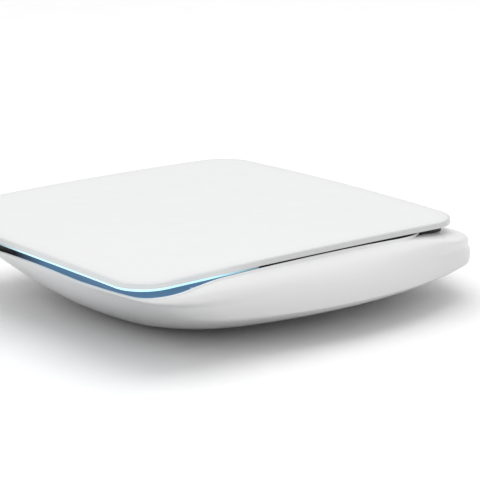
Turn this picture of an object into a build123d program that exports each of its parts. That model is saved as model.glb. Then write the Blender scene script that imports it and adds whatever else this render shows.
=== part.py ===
# Smart home gateway: a pebble-shaped housing with a thin square panel floating above a dark neck.
# Millimetres. +Z is up, the lit front faces -Y, the ports face +Y.
# The origin is the middle of the whole object's footprint, on the surface that it stands on.
from build123d import *
from math import cos, hypot, pi, sin, sqrt
import os

os.makedirs("parts", exist_ok=True)

# Heights that stack up from the table to the top panel
FOOT_PROUD = 0.9
FLOOR = 1.8
STANDOFF = 2.0
BOARD = 1.2
JACK_HEIGHT = 13.2
JACK_HEADROOM = 0.9
CARRIER = 0.8
PANEL_EDGE = 1.3

# Clearances
FIT_GAP = 0.15
RUNNING_GAP = 0.1

# Top panel
PANEL_SIZE = 94.0
PANEL_CORNER = 8.9
PANEL_ARC = 1600.0
PANEL_CROWN = 0.64
PANEL_ROUND = 0.35
CAP_SHARE = 1.2

# Housing, measured from the panel's edges and down from the panel's rim
FRONT_SETBACK = 2.8
SIDE_SWELL = 4.8
TAIL_REACH = 16.1
WALL = 1.8
WALL_SHARE = 0.8
WALL_SHIFT = 0.7
LIP = 2.0
FRONT_WIDEST = 4.7
FRONT_BASE_INSET = 21.7
SIDE_WIDEST = 12.7
SIDE_BASE_INSET = 26.5
TAIL_EDGE_HEIGHT = 7.9
TAIL_BASE_INSET = 36.7
TAIL_SHOULDER = 42.3
UNDERSIDE_POWER = 1.25
TAIL_UNDERSIDE_POWER = 1.4
GROWTH_START = 2.8
RIM_CORNER = 9.4
FRONT_BASE_CORNER = 24.6
REAR_BASE_CORNER = 14.1
CORNER_LIMIT = 0.95
RIM_ARC = 1410.0
BASE_ARC = 70.5
CREST_DEPTH = 2.07
CREST_Y = 7.0
CREST_SPAN = 52.6
CREST_DROP = 2.07
CREST_MARGIN = 0.2
TOP_STEPS = 11
UNDERSIDE_STEPS = 7
CAVITY_TOP_STEPS = 8
CAVITY_UNDERSIDE_STEPS = 3

# Neck
NECK_INSET = 1.9
NECK_REAR_INSET = 1.0
NECK_FRONT_CORNER = 18.0
NECK_REAR_CORNER = 9.4
NECK_WALL = 1.6
NECK_SEAT = 5.3
NECK_DECK = 1.2
DECK_DROP = 2.0
DECK_OPENING_MARGIN = 2.0
DECK_OPENING_CORNER = 3.0
CAVITY_ROOF = 4.8
BOSS_RADIUS = 2.7
CLIP_X = 28.0
CLIP_Y = (-6.0, 18.0)
CLIP_WIDTH = 6.0
CLIP_THICK = 1.2
CLIP_HOOK = 0.6
CLIP_TIP = 1.2

# Light under the panel's edge, round the front right corner
GUIDE_START_X = 0.0
GUIDE_REAR = 19.7
GUIDE_DEPTH = 3.0
LED_GAP = 0.3
LED_BOARD = 0.8
LED_BOARD_WIDTH = 6.0
LED_LENGTH = 1.8
LED_DEPTH = 1.4
LED_HEIGHT = 0.7
LED_FRONT_X = (10.5, 17.5, 24.5)
LED_SIDE_SETBACK = 2.9
RIBBON_X = 4.0
RIBBON_WIDTH = 5.0
RIBBON_THICK = 0.25
RIBBON_BEND = 1.5
RIBBON_DROP_Y = -14.5
RIBBON_SOCKET = 2.4
RIBBON_SOCKET_WIDTH = 7.0
RIBBON_SOCKET_HEIGHT = 2.0
LED_SOCKET_HEIGHT = 0.9

# Cable bay and rear wall
BAY_CENTRE = -4.5
BAY_WIDTH = 40.0
BAY_WALL = 1.6
BAY_FLOOR_HEIGHT = 3.7
BAY_LEDGE = 0.8
PORT_PANEL = 1.5
PORT_SETBACK = 0.5
PORT_RIB = 1.0
PORT_RIB_HEIGHT = 0.9
PORT_RIB_WIDTH = 34.0
PORT_HOLE_GAP = 0.2
PORT_CORNER = 0.4

# Ethernet socket
ETHERNET_X = -9.5
JACK_WIDTH = 16.0
JACK_LENGTH = 21.0
JACK_SHELL = 0.3
JACK_LIP = 0.2
JACK_SETBACK = 0.4
SOCKET_WIDTH = 11.8
SOCKET_HEIGHT = 6.8
SOCKET_DEPTH = 13.0
SOCKET_SILL = 4.6
LATCH_WIDTH = 6.4
LATCH_HEIGHT = 2.6
CONTACTS = 8
CONTACT_PITCH = 1.02
CONTACT_WIRE = 0.4
CONTACT_FOOT = 1.2
CONTACT_START = 2.6
CONTACT_REACH = 9.0
CONTACT_DIP = 1.6
MAGNETICS_SIZE = (12.0, 5.0, 5.5)
MAGNETICS_GAP = 0.5

# Power inlet
POWER_X = 5.5
POWER_WIDTH = 9.0
POWER_HEIGHT = 11.0
POWER_LENGTH = 14.0
POWER_AXIS = 6.4
POWER_BORE = 3.15
POWER_BORE_DEPTH = 9.5
POWER_PIN = 1.0
POWER_PIN_LENGTH = 8.5
POWER_PIN_ROUND = 0.4
POWER_HOLE = 3.7

# Buttons and their switches
BUTTON_X = -20.6
BUTTON_RADIUS = 2.0
BUTTON_PROUD = 0.5
BUTTON_ROUND = 0.4
BUTTON_FLANGE = 2.7
BUTTON_FLANGE_THICK = 0.9
BUTTON_TRAVEL = 0.4
RESET_X = 13.0
RESET_SETBACK = 1.0
RESET_TRAVEL = 0.25
PINHOLE = 0.5
SWITCH_WIDTH = 6.0
SWITCH_HEIGHT = 4.6
SWITCH_LENGTH = 3.6
SWITCH_AXIS = 2.8
SWITCH_SETBACK = 0.3
PLUNGER_RADIUS = 1.1
PLUNGER_HIDDEN = 1.2
PLUNGER_GAP = 0.05

# Main board and what is soldered to it
BOARD_MARGIN = 2.0
BOARD_REAR_GAP = 2.0
CAN_CENTRE = (0.0, -4.0)
CAN_SIZE = (26.0, 14.0)
CAN_SHEET = 0.3
CAN_HEIGHT = 3.0
CAN_CORNER = 0.8
PROCESSOR_CENTRE = (5.5, -4.0)
PROCESSOR_SIZE = 12.0
MEMORY_CENTRE = (-7.0, -4.0)
MEMORY_SIZE = (8.0, 10.0)
CHIP_HEIGHT = 1.2
MEMORY_HEIGHT = 1.0
FLASH_CENTRE = (-1.0, -25.0)
FLASH_SIZE = (6.0, 5.0)
MODULE_BOARD = 0.8
ZIGBEE_CENTRE = (25.5, -8.0)
ZIGBEE_SIZE = (14.0, 16.0)
ZIGBEE_SHIELD_CENTRE = (25.5, -10.5)
ZIGBEE_SHIELD_SIZE = (11.0, 9.5)
WIFI_CENTRE = (-26.0, -8.0)
WIFI_SIZE = (12.0, 14.0)
WIFI_SHIELD_CENTRE = (-24.8, -8.0)
WIFI_SHIELD_SIZE = (9.0, 10.0)
SHIELD_HEIGHT = 1.6
SHIELD_CORNER = 0.6
ANTENNA_CENTRE = (-36.0, -7.0)
ANTENNA_SIZE = (7.0, 30.0)
ANTENNA_THICK = 0.6
LEAD_RADIUS = 0.565
LEAD_BEND = 2.0
LEAD_LEVEL = 9.5
LEAD_START_X = -36.0
LEAD_END_X = -30.6
LEAD_Y = -8.0
CAPACITOR_SPOTS = [(19.5, 20.5), (27.0, 20.0), (19.5, 28.0)]
CAPACITOR_RADIUS = 3.15
CAPACITOR_HEIGHT = 7.7
CAPACITOR_ROUND = 0.5
INDUCTOR_SPOTS = [(21.5, 12.5), (29.5, 11.5)]
INDUCTOR_SIZE = 6.0
INDUCTOR_HEIGHT = 3.0
CRYSTAL_SPOTS = [(-4.0, 6.5), (5.0, 6.5)]
CRYSTAL_SIZE = (3.2, 2.5)
CRYSTAL_HEIGHT = 0.8
REGULATOR_SPOTS = [(19.5, 4.5), (24.5, 4.5), (29.5, 4.5)]
REGULATOR_SIZE = 3.0
REGULATOR_HEIGHT = 1.0

# Screws and feet
SCREW_X = 13.0
SCREW_FRONT_Y = -17.5
SCREW_REAR_Y = 7.5
SCREW_SHANK = 1.05
SCREW_HEAD = 2.2
SCREW_HEAD_THICK = 1.3
SCREW_SLOT = 0.6
SCREW_SLOT_LENGTH = 2.4
SCREW_SLOT_DEPTH = 0.7
SCREW_BITE = 6.5
SCREW_GAP = 0.25
PILOT_GAP = 0.05
PILOT_RUN_OUT = 0.6
STANDOFF_RADIUS = 4.0
FOOT_RADIUS = 6.0
FOOT_RECESS = 0.9
FOOT_ROUND = 0.4
BOARD_SCREW_X = 9.0
BOARD_SCREW_Y = -26.0
BOARD_SCREW_SHANK = 0.85
BOARD_SCREW_HEAD = 1.9
BOARD_SCREW_HEAD_THICK = 1.1
BOARD_SCREW_ROUND = 0.4
BOARD_SCREW_BITE = 1.6
BOARD_STANDOFF_RADIUS = 2.8

# Levels worked out from the stack
FLOOR_TOP = FOOT_PROUD + FLOOR
BOARD_BASE = FLOOR_TOP + STANDOFF
BOARD_TOP = BOARD_BASE + BOARD
CARRIER_BASE = BOARD_TOP + JACK_HEIGHT + JACK_HEADROOM
PANEL_BASE = CARRIER_BASE + CARRIER
RIM = PANEL_BASE + PANEL_EDGE
BODY_DEPTH = RIM - FOOT_PROUD
DECK_TOP = CARRIER_BASE - DECK_DROP
DECK_BASE = DECK_TOP - NECK_DECK
NECK_BASE = RIM - NECK_SEAT
SOCKET_BASE = BOARD_TOP + SOCKET_SILL
SWITCH_LEVEL = BOARD_TOP + SWITCH_AXIS
BAY_BASE = FOOT_PROUD + BAY_FLOOR_HEIGHT
FOOT_CEILING = FOOT_PROUD + FOOT_RECESS
SCREW_SEAT = FOOT_CEILING + SCREW_HEAD_THICK + RUNNING_GAP

# Reaches from the middle of the panel
PANEL_HALF = PANEL_SIZE / 2
HOUSING_FRONT = PANEL_HALF - FRONT_SETBACK
HOUSING_SIDE = PANEL_HALF + SIDE_SWELL
HOUSING_REAR = PANEL_HALF + TAIL_REACH
NECK_SIDE = PANEL_HALF - NECK_INSET
NECK_FRONT = HOUSING_FRONT - LIP
NECK_REAR = PANEL_HALF - NECK_REAR_INSET
TAIL_WIDEST = BODY_DEPTH - TAIL_EDGE_HEIGHT
HOUSING_TOP = CREST_DEPTH - CREST_MARGIN


def superellipse(run, reach, power):
    """How far a curve has come in after 'run' of its 'reach', starting upright."""
    share = min(max(run / reach, 0.0), 1.0)
    return 1 - (1 - share**power) ** (1 / power)


def inset(depth, widest, base_inset, power, top, top_inset):
    """How far the housing lies inside its widest outline at a depth below the rim."""
    if depth >= widest:
        return base_inset * superellipse(depth - widest, BODY_DEPTH - widest, power)
    return top_inset * superellipse(widest - depth, widest - top, 2)


def front_inset(depth):
    return inset(depth, FRONT_WIDEST, FRONT_BASE_INSET, UNDERSIDE_POWER, HOUSING_TOP, LIP)


def side_inset(depth):
    shoulder = HOUSING_SIDE - NECK_SIDE - FIT_GAP - CREST_MARGIN
    return inset(depth, SIDE_WIDEST, SIDE_BASE_INSET, UNDERSIDE_POWER, HOUSING_TOP, shoulder)


def rear_inset(depth):
    return inset(depth, TAIL_WIDEST, TAIL_BASE_INSET, TAIL_UNDERSIDE_POWER, HOUSING_TOP, TAIL_SHOULDER)


def growth(depth):
    """The share of the way from the rim's outline to the base's outline."""
    return min(max((depth - GROWTH_START) / (BODY_DEPTH - GROWTH_START), 0.0), 1.0)


def side_arc(depth):
    """The radius of the four long arcs of the housing's outline at a depth."""
    bend = 1 - (1 - growth(depth)) ** 2
    return 1 / (1 / RIM_ARC + (1 / BASE_ARC - 1 / RIM_ARC) * bend)


def corner_points(half_x, half_y, radius, arc):
    """The start, middle and end of the corner arc between a side's long arc and an end's."""
    side_centre = half_x - arc
    end_centre = half_y - arc
    # the corner arc's centre lies as far from one long arc's centre as from the other's
    reach = arc - radius
    apart = hypot(side_centre, end_centre)
    across = sqrt(reach**2 - apart**2 / 4)
    corner_x = side_centre / 2 - across * end_centre / apart
    corner_y = end_centre / 2 - across * side_centre / apart
    side = (side_centre + (corner_x - side_centre) * arc / reach, corner_y * arc / reach)
    end = (corner_x * arc / reach, end_centre + (corner_y - end_centre) * arc / reach)
    chord = hypot(side[0] - end[0], end[1] - side[1])
    middle_x = corner_x + radius * (end[1] - side[1]) / chord
    middle_y = corner_y + radius * (side[0] - end[0]) / chord
    return side, (middle_x, middle_y), end


def bowed_outline(height, middle_y, half_x, half_y, front_radius, rear_radius, arc):
    """A rounded rectangle whose four sides are arcs too, every arc tangent to the next."""
    (front_x, front_y), front_middle, front_end = corner_points(half_x, half_y, front_radius, arc)
    (rear_x, rear_y), rear_middle, rear_end = corner_points(half_x, half_y, rear_radius, arc)
    with BuildSketch(Plane((0, middle_y, height))) as outline:
        with BuildLine():
            ThreePointArc((front_x, -front_y), (half_x, 0), (rear_x, rear_y))
            ThreePointArc((rear_x, rear_y), rear_middle, rear_end)
            ThreePointArc(rear_end, (0, half_y), (-rear_end[0], rear_end[1]))
            ThreePointArc(
                (-rear_end[0], rear_end[1]), (-rear_middle[0], rear_middle[1]), (-rear_x, rear_y)
            )
            ThreePointArc((-rear_x, rear_y), (-half_x, 0), (-front_x, -front_y))
            ThreePointArc(
                (-front_x, -front_y), (-front_middle[0], -front_middle[1]), (-front_end[0], -front_end[1])
            )
            ThreePointArc((-front_end[0], -front_end[1]), (0, -half_y), (front_end[0], -front_end[1]))
            ThreePointArc(
                (front_end[0], -front_end[1]), (front_middle[0], -front_middle[1]), (front_x, -front_y)
            )
        make_face()
    return outline.sketch


# The bay cuts away the tail's middle, so the rear-most point lies beside the bay
BAY_EDGE = BAY_CENTRE + BAY_WIDTH / 2
TAIL_LOSS = side_arc(TAIL_WIDEST) - sqrt(side_arc(TAIL_WIDEST) ** 2 - BAY_EDGE**2)

# The panel's middle lies in front of the origin, because the housing's tail reaches out behind it
PANEL_Y = (PANEL_HALF - HOUSING_REAR + TAIL_LOSS) / 2


def housing_reach(depth, wall):
    """Front, side and rear reach of the housing at a depth, or of its cavity when there is a wall."""
    shifts = (-WALL_SHIFT * wall, 0.0, WALL_SHIFT * wall)
    front = HOUSING_FRONT - max(front_inset(depth + shift) for shift in shifts) - WALL_SHARE * wall
    side = HOUSING_SIDE - max(side_inset(depth + shift) for shift in shifts) - WALL_SHARE * wall
    rear = HOUSING_REAR - max(rear_inset(depth + shift) for shift in shifts) - WALL_SHARE * wall
    return front, side, rear


def housing_section(depth, wall=0.0, margin=0.0):
    """The outline of the housing, or of its cavity less a margin, at a depth below the rim."""
    front, side, rear = (reach - margin for reach in housing_reach(depth, wall))
    middle_y = PANEL_Y + (rear - front) / 2
    half_y = (front + rear) / 2
    limit = CORNER_LIMIT * min(side, half_y)
    front_radius = RIM_CORNER + (FRONT_BASE_CORNER - RIM_CORNER) * growth(depth) - wall - margin
    rear_radius = RIM_CORNER + (REAR_BASE_CORNER - RIM_CORNER) * growth(depth) - wall - margin
    return bowed_outline(
        RIM - depth, middle_y, side, half_y, min(front_radius, limit), min(rear_radius, limit), side_arc(depth)
    )


def neck_outline(height, margin=0.0):
    """The neck's outline at a height, grown by a margin."""
    return bowed_outline(
        height,
        PANEL_Y + (NECK_REAR - NECK_FRONT) / 2,
        NECK_SIDE + margin,
        (NECK_FRONT + NECK_REAR) / 2 + margin,
        NECK_FRONT_CORNER + margin,
        NECK_REAR_CORNER + margin,
        PANEL_ARC,
    )


def panel_outline(height):
    """The top panel's outline at a height."""
    return bowed_outline(
        height, PANEL_Y, PANEL_HALF, PANEL_HALF, PANEL_CORNER, PANEL_CORNER, PANEL_ARC
    )


def housing_depths(top, bottom, steps_above, steps_below):
    """Depths of the loft's sections, spaced evenly round the tail's profile."""
    rise = TAIL_WIDEST - top
    fall = bottom - TAIL_WIDEST
    above = [TAIL_WIDEST - rise * cos(pi / 2 * step / steps_above) for step in range(steps_above)]
    below = [
        TAIL_WIDEST + fall * sin(pi / 2 * step / steps_below) ** (2 / TAIL_UNDERSIDE_POWER)
        for step in range(steps_below + 1)
    ]
    return above + below


def lit_band(height, outer, inner):
    """The strip between two insets from the neck's outline, where the light runs."""
    with BuildSketch(Plane.XY.offset(height)) as band:
        add(neck_outline(height, -outer))
        add(neck_outline(height, -inner), mode=Mode.SUBTRACT)
        with Locations((GUIDE_START_X, PANEL_Y - GUIDE_REAR)):
            Rectangle(PANEL_SIZE, PANEL_SIZE, align=(Align.MIN, Align.MAX), mode=Mode.INTERSECT)
    return band.sketch


def crown_cap(height):
    """A block whose gently domed top passes through the middles of the panel's edges at a height."""
    reach = PANEL_HALF * CAP_SHARE
    fall = PANEL_CROWN * CAP_SHARE**2
    with BuildPart() as cap:
        for x, drop in ((-reach, fall), (0, 0), (reach, fall)):
            top = height + PANEL_CROWN - drop
            with BuildSketch(Plane((x, PANEL_Y, 0), x_dir=(0, 1, 0), z_dir=(1, 0, 0))):
                with BuildLine():
                    Polyline((reach, top - fall), (reach, 0), (-reach, 0), (-reach, top - fall))
                    ThreePointArc((-reach, top - fall), (0, top), (reach, top - fall))
                make_face()
        loft()
    return cap.part


def board_block(centre, size, height, corner=0.0, base=BOARD_TOP):
    """A flat-topped block that stands on a board."""
    with BuildPart() as block:
        with BuildSketch(Plane.XY.offset(base)):
            with Locations(centre):
                if corner:
                    RectangleRounded(size[0], size[1], corner)
                else:
                    Rectangle(size[0], size[1])
        extrude(amount=height)
    return block.part


def write(builder, name):
    """Label one finished piece and write its file."""
    builder.part.label = name
    export_step(builder.part, f"parts/{name}.step")


# Places of the rear wall's faces and of the pieces that meet them
PORT_FACE = PANEL_Y + NECK_REAR - PORT_SETBACK
PORT_BACK = PORT_FACE - PORT_PANEL
PORT_HALF = BAY_WIDTH / 2 + BAY_WALL
PORT_SLOT_FRONT = PORT_BACK - FIT_GAP
BAY_Y = PANEL_Y + NECK_REAR + FIT_GAP
BOARD_REAR = PORT_BACK - BOARD_REAR_GAP
JACK_FACE = PORT_FACE - JACK_SETBACK
POWER_FACE = PORT_BACK - RUNNING_GAP
SWITCH_FACE = BOARD_REAR - SWITCH_SETBACK
BUTTON_SEAT = PORT_BACK - RUNNING_GAP
PLUNGER_TIP = BUTTON_SEAT - BUTTON_FLANGE_THICK - PLUNGER_GAP
RESET_TIP = PORT_BACK - RESET_SETBACK
SCREW_SPOTS = [(x, y) for x in (-SCREW_X, SCREW_X) for y in (SCREW_FRONT_Y, SCREW_REAR_Y)]
BOARD_SCREW_SPOTS = [(-BOARD_SCREW_X, BOARD_SCREW_Y), (BOARD_SCREW_X, BOARD_SCREW_Y)]
CLIP_SPOTS = [(side * CLIP_X, y) for side in (-1, 1) for y in CLIP_Y]

# Places of the small lights just inside the light guide, with the turn of each about Z
NECK_HALF_Y = (NECK_FRONT + NECK_REAR) / 2
NECK_Y = PANEL_Y + (NECK_REAR - NECK_FRONT) / 2
_, NECK_BEND, _ = corner_points(NECK_SIDE, NECK_HALF_Y, NECK_FRONT_CORNER, PANEL_ARC)
LED_INSET = GUIDE_DEPTH + LED_GAP + LED_DEPTH / 2
LED_DIAGONAL = LED_INSET * sqrt(0.5)
LED_SPOTS = [(x, PANEL_Y - NECK_FRONT + LED_INSET, 0) for x in LED_FRONT_X]
LED_SPOTS.append((NECK_BEND[0] - LED_DIAGONAL, NECK_Y - NECK_BEND[1] + LED_DIAGONAL, 45))
LED_SPOTS.append((NECK_SIDE - LED_INSET, PANEL_Y - GUIDE_REAR - LED_SIDE_SETBACK, 90))
LED_BOARD_OUTER = GUIDE_DEPTH + LED_GAP
LED_BOARD_INNER = LED_BOARD_OUTER + LED_BOARD_WIDTH
LED_SOCKET_Y = PANEL_Y - NECK_FRONT + LED_BOARD_INNER - RIBBON_SOCKET
RIBBON_LEVEL = DECK_TOP + LED_BOARD + LED_SOCKET_HEIGHT / 2


# Top panel: a thin curved sheet with a rolled edge
with BuildPart() as top_panel:
    extrude(panel_outline(PANEL_BASE - PANEL_CROWN), amount=PANEL_EDGE + 2 * PANEL_CROWN)
    add(crown_cap(RIM), mode=Mode.INTERSECT)
    add(crown_cap(PANEL_BASE), mode=Mode.SUBTRACT)
    fillet(top_panel.faces().sort_by(Axis.Z)[-1].edges(), PANEL_ROUND)
write(top_panel, "top_panel")

# Panel carrier: a plate bonded under the panel, with four clips that snap under the neck's deck
with BuildPart() as panel_carrier:
    extrude(neck_outline(CARRIER_BASE), amount=CARRIER + PANEL_CROWN)
    add(crown_cap(PANEL_BASE), mode=Mode.INTERSECT)
    guide_slot = lit_band(CARRIER_BASE, -FIT_GAP, GUIDE_DEPTH + RUNNING_GAP)
    extrude(guide_slot, amount=PANEL_EDGE, mode=Mode.SUBTRACT)
    clip_drop = CARRIER_BASE - DECK_BASE + CLIP_TIP
    hook_drop = CLIP_TIP - RUNNING_GAP
    for x, y in CLIP_SPOTS:
        outward = 1 if x > 0 else -1
        with Locations((x, y, CARRIER_BASE)):
            Box(CLIP_THICK, CLIP_WIDTH, clip_drop, align=(Align.CENTER, Align.CENTER, Align.MAX))
        with Locations((x + outward * (CLIP_THICK + CLIP_HOOK) / 2, y, DECK_BASE - RUNNING_GAP)):
            Box(CLIP_HOOK, CLIP_WIDTH, hook_drop, align=(Align.CENTER, Align.CENTER, Align.MAX))
write(panel_carrier, "panel_carrier")

# Light guide: a lip under the panel's edge and a leg that the lights shine into
with BuildPart() as light_guide:
    extrude(lit_band(CARRIER_BASE, 0, GUIDE_DEPTH), amount=CARRIER + PANEL_CROWN)
    add(crown_cap(PANEL_BASE), mode=Mode.INTERSECT)
    leg = CARRIER_BASE - DECK_TOP - RUNNING_GAP
    extrude(lit_band(CARRIER_BASE, NECK_WALL + FIT_GAP, GUIDE_DEPTH), amount=-leg)
write(light_guide, "light_guide")

# Neck frame: wall, deck and four long bosses in one moulding
with BuildPart() as neck_frame:
    extrude(neck_outline(NECK_BASE), amount=CARRIER_BASE - NECK_BASE)
    extrude(neck_outline(DECK_TOP, -NECK_WALL), amount=CARRIER_BASE - DECK_TOP, mode=Mode.SUBTRACT)
    with BuildSketch(Plane.XY.offset(DECK_BASE)):
        with Locations((0, (SCREW_FRONT_Y + SCREW_REAR_Y) / 2)):
            RectangleRounded(
                2 * (SCREW_X - BOSS_RADIUS - DECK_OPENING_MARGIN),
                SCREW_REAR_Y - SCREW_FRONT_Y,
                DECK_OPENING_CORNER,
            )
    extrude(amount=NECK_DECK, mode=Mode.SUBTRACT)
    jack_rear = JACK_FACE - JACK_LENGTH - FIT_GAP
    jack_left = ETHERNET_X - JACK_WIDTH / 2 - FIT_GAP
    jack_right = POWER_X + POWER_WIDTH / 2 + FIT_GAP
    with Locations(((jack_left + jack_right) / 2, jack_rear, DECK_BASE)):
        Box(
            jack_right - jack_left,
            PORT_BACK - jack_rear + FIT_GAP,
            NECK_DECK,
            align=(Align.CENTER, Align.MIN, Align.MIN),
            mode=Mode.SUBTRACT,
        )
    with Locations((BAY_CENTRE, PORT_BACK - RUNNING_GAP, NECK_BASE)):
        Box(
            2 * (PORT_HALF + FIT_GAP),
            NECK_WALL + PORT_PANEL,
            CARRIER_BASE - NECK_BASE,
            align=(Align.CENTER, Align.MIN, Align.MIN),
            mode=Mode.SUBTRACT,
        )
    for x, y in CLIP_SPOTS:
        outward = 1 if x > 0 else -1
        with Locations((x + outward * CLIP_HOOK / 2, y, DECK_BASE)):
            Box(
                CLIP_THICK + CLIP_HOOK + 2 * FIT_GAP,
                CLIP_WIDTH + 2 * FIT_GAP,
                NECK_DECK,
                align=(Align.CENTER, Align.CENTER, Align.MIN),
                mode=Mode.SUBTRACT,
            )
    with BuildSketch(Plane.XY.offset(DECK_BASE)):
        with Locations(*SCREW_SPOTS):
            Circle(BOSS_RADIUS)
    extrude(amount=BOARD_TOP - DECK_BASE)
    with BuildSketch(Plane.XY.offset(BOARD_TOP)):
        with Locations(*SCREW_SPOTS):
            Circle(SCREW_SHANK + PILOT_GAP)
    extrude(amount=SCREW_BITE + PILOT_RUN_OUT, mode=Mode.SUBTRACT)
write(neck_frame, "neck_frame")

# Cavity of the housing, kept clear of the cable bay and its walls
with BuildPart() as cavity:
    depths = housing_depths(CAVITY_ROOF, BODY_DEPTH - FLOOR, CAVITY_TOP_STEPS, CAVITY_UNDERSIDE_STEPS)
    loft(sections=[housing_section(depth, WALL) for depth in depths], ruled=True)
    with Locations((BAY_CENTRE, BAY_Y, 0)):
        Box(
            2 * PORT_HALF,
            HOUSING_REAR,
            2 * RIM,
            align=(Align.CENTER, Align.MIN, Align.CENTER),
            mode=Mode.SUBTRACT,
        )

# Housing: a pebble lofted through level outlines, arched across its top
with BuildPart() as housing:
    depths = housing_depths(HOUSING_TOP, BODY_DEPTH, TOP_STEPS, UNDERSIDE_STEPS)
    loft(sections=[housing_section(depth) for depth in depths])
    with BuildSketch(Plane.YZ):
        with BuildLine():
            crest = PANEL_Y + CREST_Y
            low = RIM - CREST_DEPTH - CREST_DROP
            Polyline(
                (crest - CREST_SPAN, low),
                (crest - CREST_SPAN, RIM),
                (crest + CREST_SPAN, RIM),
                (crest + CREST_SPAN, low),
            )
            ThreePointArc((crest - CREST_SPAN, low), (crest, RIM - CREST_DEPTH), (crest + CREST_SPAN, low))
        make_face()
    extrude(amount=PANEL_SIZE, both=True, mode=Mode.SUBTRACT)
    add(cavity.part, mode=Mode.SUBTRACT)
    extrude(neck_outline(NECK_BASE, FIT_GAP), amount=NECK_SEAT, mode=Mode.SUBTRACT)
    with Locations((BAY_CENTRE, PORT_SLOT_FRONT, BAY_BASE)):
        Box(
            2 * (PORT_HALF + FIT_GAP),
            BAY_Y - PORT_SLOT_FRONT,
            RIM,
            align=(Align.CENTER, Align.MIN, Align.MIN),
            mode=Mode.SUBTRACT,
        )
    with Locations((BAY_CENTRE, PORT_SLOT_FRONT, BOARD_BASE + PORT_RIB_HEIGHT)):
        Box(
            BAY_WIDTH,
            PORT_SLOT_FRONT - BOARD_REAR,
            RIM,
            align=(Align.CENTER, Align.MAX, Align.MIN),
            mode=Mode.SUBTRACT,
        )
    with Locations((BAY_CENTRE, BAY_Y, BAY_BASE)):
        Box(BAY_WIDTH, HOUSING_REAR, RIM, align=(Align.CENTER, Align.MIN, Align.MIN), mode=Mode.SUBTRACT)
    with Locations((BAY_CENTRE, BAY_Y + BAY_LEDGE, 0)):
        Box(BAY_WIDTH, HOUSING_REAR, RIM, align=(Align.CENTER, Align.MIN, Align.MIN), mode=Mode.SUBTRACT)
    with BuildSketch(Plane.XY.offset(FOOT_CEILING)):
        with Locations(*SCREW_SPOTS):
            Circle(STANDOFF_RADIUS)
        with Locations(*BOARD_SCREW_SPOTS):
            Circle(BOARD_STANDOFF_RADIUS)
    extrude(amount=BOARD_BASE - FOOT_CEILING)
    with Locations((BAY_CENTRE, PORT_SLOT_FRONT, BOARD_BASE - PORT_RIB_HEIGHT)):
        Box(PORT_RIB_WIDTH, PORT_RIB, 2 * PORT_RIB_HEIGHT, align=(Align.CENTER, Align.MAX, Align.MIN))
    with BuildSketch(Plane.XY.offset(FOOT_PROUD)):
        with Locations(*SCREW_SPOTS):
            Circle(FOOT_RADIUS + RUNNING_GAP)
    extrude(amount=FOOT_RECESS, mode=Mode.SUBTRACT)
    with BuildSketch(Plane.XY.offset(FOOT_CEILING)):
        with Locations(*SCREW_SPOTS):
            Circle(SCREW_HEAD + RUNNING_GAP)
    extrude(amount=SCREW_SEAT - FOOT_CEILING, mode=Mode.SUBTRACT)
    with BuildSketch(Plane.XY.offset(SCREW_SEAT)):
        with Locations(*SCREW_SPOTS):
            Circle(SCREW_SHANK + SCREW_GAP)
    extrude(amount=BOARD_BASE - SCREW_SEAT, mode=Mode.SUBTRACT)
    with BuildSketch(Plane.XY.offset(BOARD_BASE)):
        with Locations(*BOARD_SCREW_SPOTS):
            Circle(BOARD_SCREW_SHANK + PILOT_GAP)
    extrude(amount=-BOARD_SCREW_BITE - PILOT_GAP, mode=Mode.SUBTRACT)
write(housing, "housing")

# Rubber feet, set in recesses over the long screws
with BuildPart() as rubber_feet:
    with BuildSketch():
        with Locations(*SCREW_SPOTS):
            Circle(FOOT_RADIUS)
    extrude(amount=FOOT_CEILING)
    fillet(rubber_feet.faces().group_by(Axis.Z)[0].edges(), FOOT_ROUND)
write(rubber_feet, "rubber_feet")

# Long screws from below through the housing and the board into the neck's bosses
with BuildPart() as housing_screws:
    with BuildSketch(Plane.XY.offset(SCREW_SEAT)):
        with Locations(*SCREW_SPOTS):
            Circle(SCREW_HEAD)
    extrude(amount=-SCREW_HEAD_THICK)
    with BuildSketch(Plane.XY.offset(SCREW_SEAT)):
        with Locations(*SCREW_SPOTS):
            Circle(SCREW_SHANK)
    extrude(amount=BOARD_TOP + SCREW_BITE - SCREW_SEAT)
    with BuildSketch(Plane.XY.offset(SCREW_SEAT - SCREW_HEAD_THICK)):
        with Locations(*SCREW_SPOTS):
            Rectangle(SCREW_SLOT_LENGTH, SCREW_SLOT)
            Rectangle(SCREW_SLOT, SCREW_SLOT_LENGTH)
    extrude(amount=SCREW_SLOT_DEPTH, mode=Mode.SUBTRACT)
write(housing_screws, "housing_screws")

# Short screws that hold the front of the main board
with BuildPart() as board_screws:
    with BuildSketch(Plane.XY.offset(BOARD_TOP)):
        with Locations(*BOARD_SCREW_SPOTS):
            Circle(BOARD_SCREW_HEAD)
    extrude(amount=BOARD_SCREW_HEAD_THICK)
    fillet(board_screws.faces().group_by(Axis.Z)[-1].edges(), BOARD_SCREW_ROUND)
    with BuildSketch(Plane.XY.offset(BOARD_TOP)):
        with Locations(*BOARD_SCREW_SPOTS):
            Circle(BOARD_SCREW_SHANK)
    extrude(amount=-BOARD - BOARD_SCREW_BITE)
write(board_screws, "board_screws")

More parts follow.
